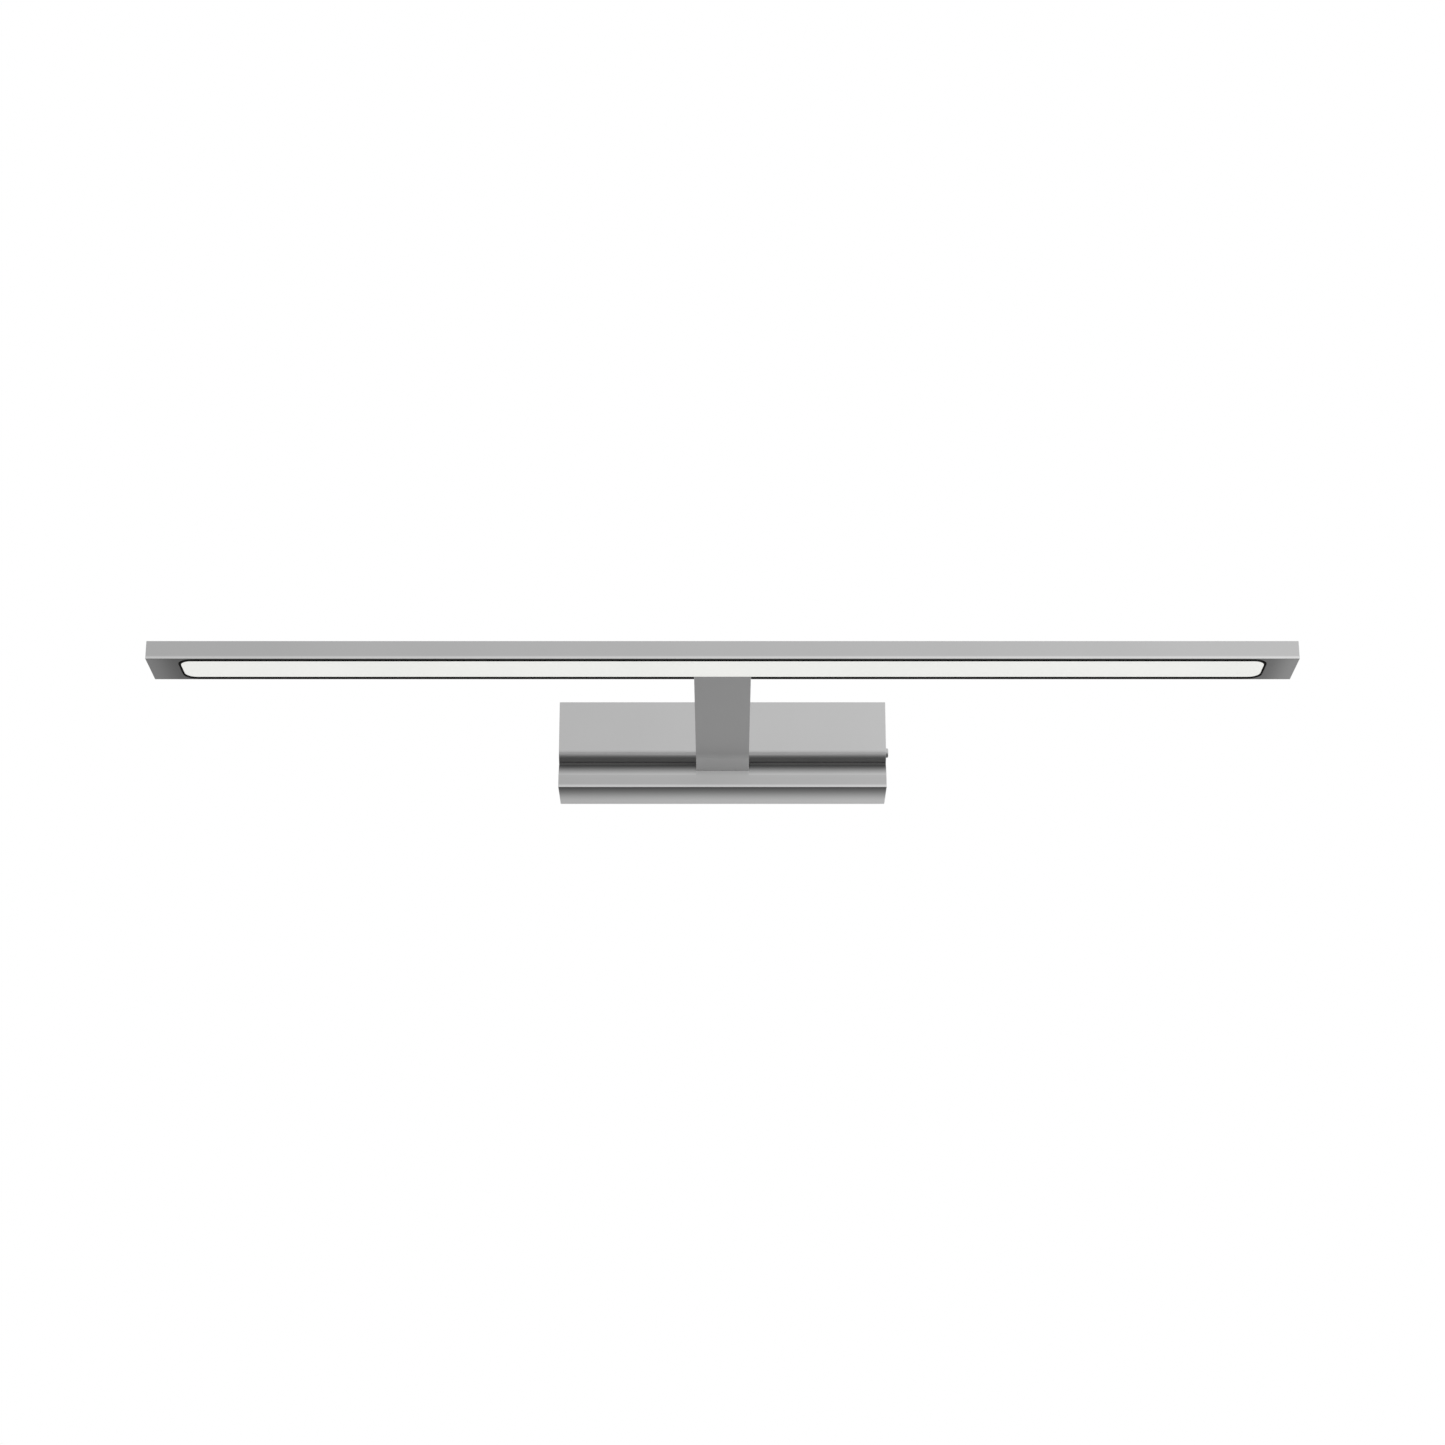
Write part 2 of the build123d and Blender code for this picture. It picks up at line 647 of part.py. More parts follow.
def plate_screws():
    """Four screws that hold the arm plate on its bosses."""
    return group(
        pan_screw(M3, PLATE_SCREW_LENGTH, (x, PLATE_BACK_Y, z), (0, 1, 0))
        for x in (-PLATE_SCREW_X, PLATE_SCREW_X)
        for z in (UPPER_BOSS_Z, ARM_CENTRE_Z)
    )


def wall_bracket():
    """The steel bracket on the wall, with screw slots, a cable hole and folded tabs."""
    back = (-BRACKET_THICKNESS, 0)
    half = BRACKET_HEIGHT / 2
    bracket = block((-BRACKET_WIDTH / 2, BRACKET_WIDTH / 2), back, (-half, half))
    bracket = fillet(bracket.edges().filter_by(Axis.Y), BRACKET_CORNER)
    for x in (-TAB_X, TAB_X):
        width = (x - TAB_WIDTH / 2, x + TAB_WIDTH / 2)
        for side in (-1, 1):
            edge = sorted((side * half, side * BOX_TOP_INNER_Z))
            fold = sorted((side * (BOX_TOP_INNER_Z - BRACKET_THICKNESS), side * BOX_TOP_INNER_Z))
            bracket += block(width, back, edge)
            bracket += block(width, (-TAB_REACH, 0), fold)
        bracket -= rod(M3.tapped, BRACKET_THICKNESS, (x, LOCK_SCREW_Y, BOX_TOP_INNER_Z), (0, 0, -1))
    for x in (-SLOT_X, SLOT_X):
        slot = Pos(x, 0) * SlotOverall(SLOT_LENGTH, SLOT_WIDTH)
        bracket -= extrude(Plane.XZ * slot, BRACKET_THICKNESS)
    for x in ear_hole_positions():
        bracket -= rod(M2_5.tapped, BRACKET_THICKNESS, (x, 0, terminal_middle_z()), (0, -1, 0))
    bracket -= rod(M4.tapped, BRACKET_THICKNESS, (EARTH_X, 0, EARTH_Z), (0, -1, 0))
    return bracket - rod(CABLE_HOLE_RADIUS, BRACKET_THICKNESS, (CABLE_X, 0, CABLE_Z), (0, -1, 0))


def canopy_lock_screws():
    """Two screws through the cover's top into the bracket's upper tabs."""
    return group(
        pan_screw(M3, LOCK_SCREW_LENGTH, (x, LOCK_SCREW_Y, BOX_HEIGHT / 2), (0, 0, 1))
        for x in (-TAB_X, TAB_X)
    )


def bracket_grommet():
    """The rubber bush in the bracket's cable hole, flush with the wall side."""
    neck = rod(CABLE_HOLE_RADIUS - FIT_GAP, BRACKET_THICKNESS, (CABLE_X, 0, CABLE_Z), (0, -1, 0))
    flange = rod(
        GROMMET_FLANGE_RADIUS,
        GROMMET_FLANGE_THICKNESS,
        (CABLE_X, -BRACKET_THICKNESS, CABLE_Z),
        (0, -1, 0),
    )
    flange = fillet(flange.edges().sort_by(Axis.Y)[0], GROMMET_ROUNDING)
    length = BRACKET_THICKNESS + GROMMET_FLANGE_THICKNESS
    return neck + flange - rod(GROMMET_BORE_RADIUS, length, (CABLE_X, 0, CABLE_Z), (0, -1, 0))


# Terminal block and earth ------------------------------------------------------------------

def terminal_middle_z():
    """Height of the terminal block's centre."""
    return (TERMINAL_BOTTOM_Z + TERMINAL_TOP_Z) / 2


def ear_hole_positions():
    """X positions of the two screws that hold the terminal block."""
    reach = TERMINAL_WIDTH / 2 + EAR_LENGTH / 2
    return (TERMINAL_X - reach, TERMINAL_X + reach)


def pole_positions():
    """X positions of the neutral, earth and live poles."""
    return tuple(TERMINAL_X + step * TERMINAL_PITCH for step in (-1, 0, 1))


def terminal_block():
    """The three-pole block that takes the house wiring, with two screw ears."""
    half = TERMINAL_WIDTH / 2
    height = (TERMINAL_BOTTOM_Z, TERMINAL_TOP_Z)
    body = block(
        (TERMINAL_X - half, TERMINAL_X + half), (TERMINAL_FRONT_Y, -BRACKET_THICKNESS), height
    )
    body = chamfer(body.edges().filter_by(Axis.X).group_by(Axis.Y)[0], TERMINAL_CHAMFER)
    ear_half = half + EAR_LENGTH
    body += block(
        (TERMINAL_X - ear_half, TERMINAL_X + ear_half),
        (-BRACKET_THICKNESS - EAR_THICKNESS, -BRACKET_THICKNESS),
        (terminal_middle_z() - EAR_LENGTH / 2, terminal_middle_z() + EAR_LENGTH / 2),
    )
    for x in ear_hole_positions():
        ear_front = -BRACKET_THICKNESS - EAR_THICKNESS
        body -= rod(M2_5.clear, EAR_THICKNESS, (x, ear_front, terminal_middle_z()), (0, 1, 0))
    half_clamp = CLAMP_SIZE / 2 + FIT_GAP
    for x in pole_positions():
        body -= block(
            (x - half_clamp, x + half_clamp), (CLAMP_Y - half_clamp, CLAMP_Y + half_clamp), height
        )
        for z in CLAMP_SCREW_Z:
            depth = CLAMP_Y - TERMINAL_FRONT_Y
            body -= rod(SCREW_WELL_RADIUS, depth, (x, TERMINAL_FRONT_Y, z), (0, 1, 0))
    return body


def terminal_clamps():
    """One brass clamp body per pole."""
    bottom = TERMINAL_BOTTOM_Z + CLAMP_INSET
    top = TERMINAL_TOP_Z - CLAMP_INSET
    half = CLAMP_SIZE / 2
    clamps = []
    for x in pole_positions():
        clamp = block((x - half, x + half), (CLAMP_Y - half, CLAMP_Y + half), (bottom, top))
        clamp -= rod(CLAMP_BORE_RADIUS, top - bottom, (x, CLAMP_Y, bottom), (0, 0, 1))
        for z in CLAMP_SCREW_Z:
            clamp -= rod(CLAMP_SCREW_RADIUS + FIT_GAP, half, (x, CLAMP_Y, z), (0, -1, 0))
        clamps.append(clamp)
    return group(clamps)


def terminal_screws():
    """Two slotted clamping screws per pole."""
    tip_y = CLAMP_Y - WIRE_RADIUS - FIT_GAP
    length = tip_y - TERMINAL_FRONT_Y - CLAMP_SCREW_SUNK
    screws = []
    for x in pole_positions():
        for z in CLAMP_SCREW_Z:
            screw = rod(CLAMP_SCREW_RADIUS, length, (x, tip_y, z), (0, -1, 0))
            slot = Pos(x, tip_y - length, z) * Box(2 * CLAMP_SCREW_RADIUS, *CLAMP_SLOT)
            screws.append(screw - slot)
    return group(screws)


def terminal_fixing_screws():
    """Two screws that hold the terminal block's ears on the bracket."""
    seat_y = -BRACKET_THICKNESS - EAR_THICKNESS
    return group(
        pan_screw(M2_5, EAR_SCREW_LENGTH, (x, seat_y, terminal_middle_z()), (0, -1, 0))
        for x in ear_hole_positions()
    )


def earth_tag():
    """A ring tag on the bracket with a crimp barrel for the earth wire."""
    tag = rod(TAG_RADIUS, TAG_THICKNESS, (EARTH_X, -BRACKET_THICKNESS, EARTH_Z), (0, -1, 0))
    back_y = -BRACKET_THICKNESS
    tag += block(
        (EARTH_X, TAG_BARREL_X[1]),
        (back_y - TAG_THICKNESS, back_y),
        (EARTH_Z - TAG_BARREL_RADIUS, EARTH_Z + TAG_BARREL_RADIUS),
    )
    length = TAG_BARREL_X[1] - TAG_BARREL_X[0]
    start = (TAG_BARREL_X[0], TAG_BARREL_Y, EARTH_Z)
    tag += rod(TAG_BARREL_RADIUS, length, start, (1, 0, 0))
    tag -= rod(WIRE_RADIUS + FIT_GAP, length, start, (1, 0, 0))
    return tag - rod(M4.clear, TAG_THICKNESS, (EARTH_X, back_y, EARTH_Z), (0, -1, 0))


def earth_screw():
    """The screw that clamps the ring tag on the bracket."""
    seat = (EARTH_X, -BRACKET_THICKNESS - TAG_THICKNESS, EARTH_Z)
    return pan_screw(M4, EARTH_SCREW_LENGTH, seat, (0, -1, 0))


# Power supply ------------------------------------------------------------------------------

def supply_case():
    """The supply's plastic tray, with wire holes in both ends."""
    case = block(CASE_X, CASE_Y, CASE_Z)
    case = fillet(case.edges().filter_by(Axis.Y), CASE_CORNER)
    case -= block(
        (CASE_X[0] + CASE_WALL, CASE_X[1] - CASE_WALL),
        (CASE_Y[0] + CASE_WALL, CASE_Y[1]),
        (CASE_Z[0] + CASE_WALL, CASE_Z[1] - CASE_WALL),
    )
    for z in LEAD_ENTRY_Z:
        start = (CASE_X[0], CIRCUIT_TOP_Y + LEAD_RADIUS, z)
        case -= rod(LEAD_RADIUS + LOOSE_GAP, CASE_WALL, start, (1, 0, 0))
    for z in (SWITCHED_WIRE_Z, WIRE_LEVEL_Z):
        start = (CASE_X[1] - CASE_WALL, CIRCUIT_TOP_Y + WIRE_RADIUS, z)
        case -= rod(WIRE_RADIUS + LOOSE_GAP, CASE_WALL, start, (1, 0, 0))
    pillar_length = CIRCUIT_Y - CASE_Y[0] - CASE_WALL
    for x in (CASE_X[0] + PILLAR_INSET, CASE_X[1] - PILLAR_INSET):
        for z in (CASE_Z[0] + PILLAR_INSET, CASE_Z[1] - PILLAR_INSET):
            case += rod(PILLAR_RADIUS, pillar_length, (x, CASE_Y[0] + CASE_WALL, z), (0, 1, 0))
    return case


def supply_lid():
    """The supply's lid, which drops into the tray's rim."""
    lid = block(CASE_X, (CASE_Y[1], CASE_Y[1] + LID_THICKNESS), CASE_Z)
    lid = fillet(lid.edges().filter_by(Axis.Y), CASE_CORNER)
    inset = CASE_WALL + FIT_GAP
    rim = block(
        (CASE_X[0] + inset, CASE_X[1] - inset),
        (CASE_Y[1] - LID_RIM_DEPTH, CASE_Y[1]),
        (CASE_Z[0] + inset, CASE_Z[1] - inset),
    )
    return lid + rim


def supply_circuit_board():
    """The circuit board on the tray's pillars."""
    inset = CASE_WALL + CIRCUIT_GAP
    return block(
        (CASE_X[0] + inset, CASE_X[1] - inset),
        (CIRCUIT_Y, CIRCUIT_TOP_Y),
        (CASE_Z[0] + inset, CASE_Z[1] - inset),
    )


def supply_transformer():
    """A small transformer: two core legs round a winding."""
    width, depth, height = TRANSFORMER_CORE
    centre = (TRANSFORMER_X, CIRCUIT_TOP_Y + depth / 2, TRANSFORMER_Z)
    core = Pos(*centre) * Box(width, depth, height)
    window = Pos(*centre) * Box(CORE_WINDOW[0], depth, CORE_WINDOW[1])
    leg = Pos(*centre) * Box(LEG_WIDTH, LEG_WIDTH, LEG_LENGTH)
    return core - window + leg


def supply_winding():
    """The transformer's winding on its middle leg."""
    centre = (TRANSFORMER_X, CIRCUIT_TOP_Y + TRANSFORMER_CORE[1] / 2, TRANSFORMER_Z)
    hollow_width = LEG_WIDTH + 2 * FIT_GAP
    hollow = Pos(*centre) * Box(hollow_width, hollow_width, WINDING_SIZE[2])
    body = Pos(*centre) * Box(*WINDING_SIZE)
    return fillet(body.edges().filter_by(Axis.Z), WINDING_CORNER) - hollow


def supply_capacitors():
    """Two upright electrolytic capacitors."""
    cans = []
    for z in CAPACITOR_Z:
        can = rod(CAPACITOR_RADIUS, CAPACITOR_HEIGHT, (CAPACITOR_X, CIRCUIT_TOP_Y, z), (0, 1, 0))
        cans.append(fillet(can.edges().sort_by(Axis.Y)[-1], CAPACITOR_ROUNDING))
    return group(cans)


def supply_chips():
    """The rectifier, controller and opto-coupler packages."""
    return group(
        Pos(x, CIRCUIT_TOP_Y + POWER_CHIP_HEIGHT / 2, z) * Box(width, POWER_CHIP_HEIGHT, height)
        for x, z, width, height in POWER_CHIPS
    )


def supply_tape():
    """The foam tape that holds the supply on the cover's front wall."""
    return block(
        (CASE_X[0] + FOAM_MARGIN[0], CASE_X[1] - FOAM_MARGIN[0]),
        (-BOX_DEPTH + BOX_WALL, CASE_Y[0]),
        (CASE_Z[0] + FOAM_MARGIN[1], CASE_Z[1] - FOAM_MARGIN[1]),
    )


# Switch ------------------------------------------------------------------------------------

def switch_housing():
    """The switch body with its contact chamber, spring bore, flange and collar."""
    depth = (SWITCH_Y - SWITCH_HALF_DEPTH, SWITCH_Y + SWITCH_HALF_DEPTH)
    body = block(
        (SWITCH_BASE_X[1], SWITCH_BODY_END_X), depth, (-SWITCH_HALF_HEIGHT, SWITCH_HALF_HEIGHT)
    )
    flange = block(
        (SWITCH_FLANGE_X, SWITCH_BODY_END_X), depth, (-SWITCH_FLANGE_HALF, SWITCH_FLANGE_HALF)
    )
    body += fillet(flange.edges().filter_by(Axis.X), SWITCH_FLANGE_CORNER)
    collar_length = BOX_SIDE_INNER_X - SWITCH_BODY_END_X
    body += rod(COLLAR_RADIUS, collar_length, (SWITCH_BODY_END_X, SWITCH_Y, 0), (1, 0, 0))
    body -= block(
        (SWITCH_BASE_X[1], CHAMBER_END_X),
        (SWITCH_Y - CHAMBER_HALF, SWITCH_Y + CHAMBER_HALF),
        (-CHAMBER_HALF, CHAMBER_HALF),
    )
    guide = (CHAMBER_END_X, SWITCH_Y, 0)
    body -= rod(STEM_RADIUS + LOOSE_GAP, PARTITION_END_X - CHAMBER_END_X, guide, (1, 0, 0))
    bore = (PARTITION_END_X, SWITCH_Y, 0)
    body -= rod(SWITCH_BORE_RADIUS, BOX_SIDE_INNER_X - PARTITION_END_X, bore, (1, 0, 0))
    for z in (-SWITCH_SCREW_Z, SWITCH_SCREW_Z):
        thickness = SWITCH_BODY_END_X - SWITCH_FLANGE_X
        body -= rod(M2.clear, thickness, (SWITCH_FLANGE_X, SWITCH_Y, z), (1, 0, 0))
    return body


def switch_base():
    """The plate that closes the contact chamber and carries the two blades."""
    plate = block(
        SWITCH_BASE_X,
        (SWITCH_Y - SWITCH_HALF_DEPTH, SWITCH_Y + SWITCH_HALF_DEPTH),
        (-SWITCH_HALF_HEIGHT, SWITCH_HALF_HEIGHT),
    )
    thickness = SWITCH_BASE_X[1] - SWITCH_BASE_X[0]
    for z in (-BLADE_Z, BLADE_Z):
        slot = Box(thickness, BLADE_SIZE[1] + 2 * FIT_GAP, BLADE_SIZE[2] + 2 * FIT_GAP)
        plate -= Pos(sum(SWITCH_BASE_X) / 2, SWITCH_Y, z) * slot
    return plate


def switch_blades():
    """Two brass blades from the contact chamber out to the wires."""
    x = BLADE_TIP_X - BLADE_SIZE[0] / 2
    return group(Pos(x, SWITCH_Y, z) * Box(*BLADE_SIZE) for z in (-BLADE_Z, BLADE_Z))


def switch_bridge():
    """The contact plate on the stem's end that joins both blades when pressed."""
    x = STEM_END_X - BRIDGE_SIZE[0] / 2
    return Pos(x, SWITCH_Y, 0) * Box(BRIDGE_SIZE[0], BRIDGE_SIZE[2], BRIDGE_SIZE[1])


def switch_button():
    """The push button with its retaining flange and stem."""
    flange_front = BOX_SIDE_INNER_X - FIT_GAP
    flange_back = flange_front - BUTTON_FLANGE_THICKNESS
    outer_x = BOX_WIDTH / 2 + BUTTON_PROUD
    cap = rod(BUTTON_RADIUS, outer_x - flange_front, (flange_front, SWITCH_Y, 0), (1, 0, 0))
    cap = fillet(cap.edges().sort_by(Axis.X)[-1], BUTTON_ROUNDING)
    flange = rod(
        BUTTON_FLANGE_RADIUS, BUTTON_FLANGE_THICKNESS, (flange_back, SWITCH_Y, 0), (1, 0, 0)
    )
    stem = rod(STEM_RADIUS, flange_back - STEM_END_X, (STEM_END_X, SWITCH_Y, 0), (1, 0, 0))
    return cap + flange + stem


def switch_spring():
    """The coil spring that pushes the button out."""
    start_x = PARTITION_END_X + SPRING_WIRE_RADIUS
    end_x = BOX_SIDE_INNER_X - FIT_GAP - BUTTON_FLANGE_THICKNESS - SPRING_WIRE_RADIUS - FIT_GAP
    rise = end_x - start_x
    coil = Helix(pitch=rise / SPRING_TURNS, height=rise, radius=SPRING_RADIUS)
    section = Plane(origin=coil @ 0, z_dir=coil % 0) * Circle(SPRING_WIRE_RADIUS)
    upright = sweep(section, coil, is_frenet=True)
    return Plane(origin=(start_x, SWITCH_Y, 0), z_dir=(1, 0, 0)).location * upright


def switch_screws():
    """Two screws through the switch's flange into the side wall's bosses."""
    return group(
        pan_screw(M2, SWITCH_SCREW_LENGTH, (SWITCH_FLANGE_X, SWITCH_Y, z), (-1, 0, 0))
        for z in (-SWITCH_SCREW_Z, SWITCH_SCREW_Z)
    )


# Mains wires -------------------------------------------------------------------------------

def wire_neutral():
    """From the neutral pole over the arm plate to the supply."""
    x = pole_positions()[0]
    circuit_y = CIRCUIT_TOP_Y + WIRE_RADIUS
    points = [
        (x, CLAMP_Y, CLAMP_ENTRY_Z),
        (x, CLAMP_Y, WIRE_LEVEL_Z),
        (WIRE_GAP_X, CLAMP_Y, WIRE_LEVEL_Z),
        (WIRE_GAP_X, circuit_y, WIRE_LEVEL_Z),
        (SUPPLY_ENTRY_X, circuit_y, WIRE_LEVEL_Z),
    ]
    return wire(points, WIRE_RADIUS)


def wire_earth():
    """From the earth pole forward round the neutral wire to the ring tag."""
    x = pole_positions()[1]
    points = [
        (x, CLAMP_Y, CLAMP_ENTRY_Z),
        (x, CLAMP_Y, WIRE_LEVEL_Z),
        (x, EARTH_LOOP_Y, WIRE_LEVEL_Z),
        (EARTH_LOOP_X, EARTH_LOOP_Y, WIRE_LEVEL_Z),
        (EARTH_LOOP_X, TAG_BARREL_Y, EARTH_Z),
        (EARTH_END_X, TAG_BARREL_Y, EARTH_Z),
    ]
    return wire(points, WIRE_RADIUS)


def wire_live():
    """From the live pole to the switch."""
    x = pole_positions()[2]
    points = [
        (x, CLAMP_Y, CLAMP_ENTRY_Z),
        (x, CLAMP_Y, WIRE_LEVEL_Z),
        (LIVE_DROP_X, CLAMP_Y, WIRE_LEVEL_Z),
        (LIVE_DROP_X, CLAMP_Y, BLADE_Z),
        (LIVE_DROP_X, SWITCH_Y, BLADE_Z),
        (BLADE_END_X, SWITCH_Y, BLADE_Z),
    ]
    return wire(points, WIRE_RADIUS, SWITCH_WIRE_BEND)


def wire_switched():
    """From the switch along the box to the supply."""
    circuit_y = CIRCUIT_TOP_Y + WIRE_RADIUS
    points = [
        (BLADE_END_X, SWITCH_Y, -BLADE_Z),
        (SWITCHED_DROP_X, SWITCH_Y, -BLADE_Z),
        (SWITCHED_DROP_X, SWITCHED_RUN_Y, -BLADE_Z),
        (WIRE_GAP_X, SWITCHED_RUN_Y, -BLADE_Z),
        (WIRE_GAP_X, SWITCHED_RUN_Y, SWITCHED_WIRE_Z),
        (WIRE_GAP_X, circuit_y, SWITCHED_WIRE_Z),
        (SUPPLY_ENTRY_X, circuit_y, SWITCHED_WIRE_Z),
    ]
    return wire(points, WIRE_RADIUS, SWITCH_WIRE_BEND)


SUB_PARTS = [
    bar_housing,
    diffuser,
    diffuser_gasket,
    led_board,
    thermal_tape,
    led_chips,
    led_resistors,
    arm_tube,
    arm_front_block,
    arm_rear_block,
    arm_front_screws,
    arm_rear_screws,
    wire_sleeves,
    lead_positive,
    lead_negative,
    canopy_shell,
    groove_inlay,
    arm_mount_plate,
    plate_screws,
    wall_bracket,
    canopy_lock_screws,
    bracket_grommet,
    terminal_block,
    terminal_clamps,
    terminal_screws,
    terminal_fixing_screws,
    earth_tag,
    earth_screw,
    supply_case,
    supply_lid,
    supply_circuit_board,
    supply_transformer,
    supply_winding,
    supply_capacitors,
    supply_chips,
    supply_tape,
    switch_housing,
    switch_base,
    switch_blades,
    switch_bridge,
    switch_button,
    switch_spring,
    switch_screws,
    wire_neutral,
    wire_earth,
    wire_live,
    wire_switched,
]

os.makedirs("parts", exist_ok=True)
for build in SUB_PARTS:
    export_step(build(), f"parts/{build.__name__}.step")
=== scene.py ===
"""Looks for the wall mirror light: materials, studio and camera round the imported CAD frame."""
import json
import math
from typing import NamedTuple

import bpy
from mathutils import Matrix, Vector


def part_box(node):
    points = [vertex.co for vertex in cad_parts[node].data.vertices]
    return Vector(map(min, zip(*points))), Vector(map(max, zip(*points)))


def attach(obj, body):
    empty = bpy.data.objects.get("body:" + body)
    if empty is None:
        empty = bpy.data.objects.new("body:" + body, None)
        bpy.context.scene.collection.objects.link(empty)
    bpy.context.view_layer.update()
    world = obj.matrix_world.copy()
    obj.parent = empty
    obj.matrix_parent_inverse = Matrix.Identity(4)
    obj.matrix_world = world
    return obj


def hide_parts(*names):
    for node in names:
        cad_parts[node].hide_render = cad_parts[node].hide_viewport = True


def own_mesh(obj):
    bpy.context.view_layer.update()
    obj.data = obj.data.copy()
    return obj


X, Y, Z = range(3)

# Camera, in metres, degrees and millimetres: in front of the light and below it, looking up
CAMERA_PLACE = (0.0, -1.72, -0.60)
CAMERA_TILT = 19.95
LEVEL = 90.0                    # a camera turned by this from straight down looks level
SENSOR_WIDTH = 36.0
LENS = 77.7

# Studio
FLOOR_Z = -1.9
FLOOR_SIZE = 12.0
FLOOR_LIGHT = (0.84, 0.84, 0.83)
FLOOR_DARK = (0.81, 0.81, 0.80)
FLOOR_PATCHES = (3.0, 4.0)      # scale and detail of the paint's faint patches
FLOOR_ROUGHNESS = 0.8
BACKDROP = (1.0, 1.0, 1.0, 1.0)
# The room's brightness over a direction's X, dimmer to the left than to the right
SIDE_LIGHT = {"From Min": -0.33, "From Max": 0.33, "To Min": 0.72, "To Max": 1.28}
# The room's brightness over a direction's height, from 0 straight down to 1 straight up
ROOM_LIGHT = [
    (0.0, 0.10),
    (0.12, 0.11),
    (0.22, 0.24),
    (0.33, 0.70),
    (0.5, 0.78),
    (0.67, 0.86),
    (1.0, 0.86),
]

# Left out of mirror images, which keeps the wall box evenly lit below the arm
UNMIRRORED = (
    "arm_tube",
    "arm_front_block",
    "arm_rear_block",
    "arm_front_screws",
    "arm_rear_screws",
    "wire_sleeves",
    "lead_positive",
    "lead_negative",
)

GRAIN_RELIEF = 0.0001           # metres from the bottom to the top of a surface's grain
SQUARE_ON = 0.95                # a surface that leans this far along an axis faces along it
PATCH_STOPS = (0.3, 0.7)        # noise below the first is a dark patch, and above the second a light one


# Node helpers --------------------------------------------------------------------------------

class Graph:
    """A node tree with short calls for the nodes that the materials and the room share."""

    def __init__(self, tree):
        self.tree = tree

    def node(self, kind, **values):
        """A new node with some of its settings."""
        node = self.tree.nodes.new(kind)
        for key, value in values.items():
            setattr(node, key, value)
        return node

    def link(self, source, target):
        self.tree.links.new(source, target)

    def split(self, vector):
        """A vector's X, Y and Z."""
        parts = self.node("ShaderNodeSeparateXYZ")
        self.link(vector, parts.inputs[0])
        return parts.outputs

    def mapped(self, value, numbers, interpolation="LINEAR"):
        """A value mapped from one range to another; numbers are keyed by the node's socket names."""
        span = self.node("ShaderNodeMapRange", interpolation_type=interpolation)
        for key, number in numbers.items():
            span.inputs[key].default_value = number
        self.link(value, span.inputs["Value"])
        return span.outputs["Result"]

    def ramp(self, value, stops):
        """A value mapped through colour stops of (position, colour)."""
        ramp = self.node("ShaderNodeValToRGB")
        elements = ramp.color_ramp.elements
        while len(elements) < len(stops):
            elements.new(1.0)
        for element, (position, colour) in zip(elements, stops):
            element.position = position
            element.color = (*colour, 1.0)
        self.link(value, ramp.inputs["Fac"])
        return ramp.outputs["Color"]

    def grey_ramp(self, value, stops):
        """A value mapped through grey stops of (position, grey)."""
        return self.ramp(value, [(position, (grey, grey, grey)) for position, grey in stops])

    def maths(self, operation, *values):
        """One operation on one to three values, each a socket or a number."""
        node = self.node("ShaderNodeMath", operation=operation)
        for socket, value in zip(node.inputs, values):
            if isinstance(value, (int, float)):
                socket.default_value = value
            else:
                self.link(value, socket)
        return node.outputs[0]


class Shader(Graph):
    """A new material's node tree."""

    def __init__(self, name):
        self.material = bpy.data.materials.new(name)
        self.material.use_nodes = True
        super().__init__(self.material.node_tree)
        self.bsdf = self.tree.nodes["Principled BSDF"]
        self.coords = self.node("ShaderNodeTexCoord").outputs["Object"]

    def noise(self, scale, detail):
        """Soft noise over the object, from 0 to 1."""
        noise = self.node("ShaderNodeTexNoise")
        noise.inputs["Scale"].default_value = scale
        noise.inputs["Detail"].default_value = detail
        self.link(self.coords, noise.inputs["Vector"])
        return noise.outputs["Fac"]

    def tinted(self, colour, painted_light):
        """A colour multiplied by painted light and shade."""
        mix = self.node("ShaderNodeMix", data_type="RGBA", blend_type="MULTIPLY")
        factor, first, second = mix.inputs[0], mix.inputs[6], mix.inputs[7]
        factor.default_value = 1.0
        self.link(colour, first)
        self.link(painted_light, second)
        return mix.outputs[2]

    def bump(self, height, strength):
        """The surface's grain, raised by a height from 0 to 1."""
        bump = self.node("ShaderNodeBump")
        bump.inputs["Strength"].default_value = strength
        bump.inputs["Distance"].default_value = GRAIN_RELIEF
        self.link(height, bump.inputs["Height"])
        self.link(bump.outputs["Normal"], self.bsdf.inputs["Normal"])


def shade(light, dark):
    """Two stops that run from a darker to a lighter version of a colour."""
    return list(zip(PATCH_STOPS, (dark, light)))


# Painted light and shade ----------------------------------------------------------------------
# Painted light and shade over a part, as a factor on its base colour.

class Run(NamedTuple):
    """A smooth change: where it starts and ends, in metres from an edge, and both values."""

    start: float
    end: float
    first: float
    last: float


BAR_END_START = 0.001                               # how far before the window's end it starts
BAR_END_PAINTED_SHADE = (0.32, 0.72)                        # painted shade on the underside, from there to the bar's end
BAR_RIM_PAINTED_SHADE = Run(-0.010, -0.002, 0.05, 1.0)            # painted shade on the underside, from the window's end
BAR_PAINTED_HIGHLIGHT = Run(0.0009, 0.0020, 1.34, 1.0)        # painted highlight on the front, up from the lower edge
ARM_FOOT_PAINTED_LIGHT = Run(-0.032, -0.016, 0.76, 1.32)          # painted shade on the underside, turning to painted light near the wall box's front
COVER_UNDERSIDE_PAINTED_SHADE = Run(-0.001, 0.026, 0.06, 1.33)    # painted shade on the underside at the front, painted light at the back
ARM_SIDE = Run(-0.001, 0.001, 1.0, 0.0)             # 1 within the arm's width, 0 outside it
ARM_PAINTED_SHADOW = Run(-0.003, 0.0, 1.0, 0.82)           # painted shadow below the arm, up to its underside
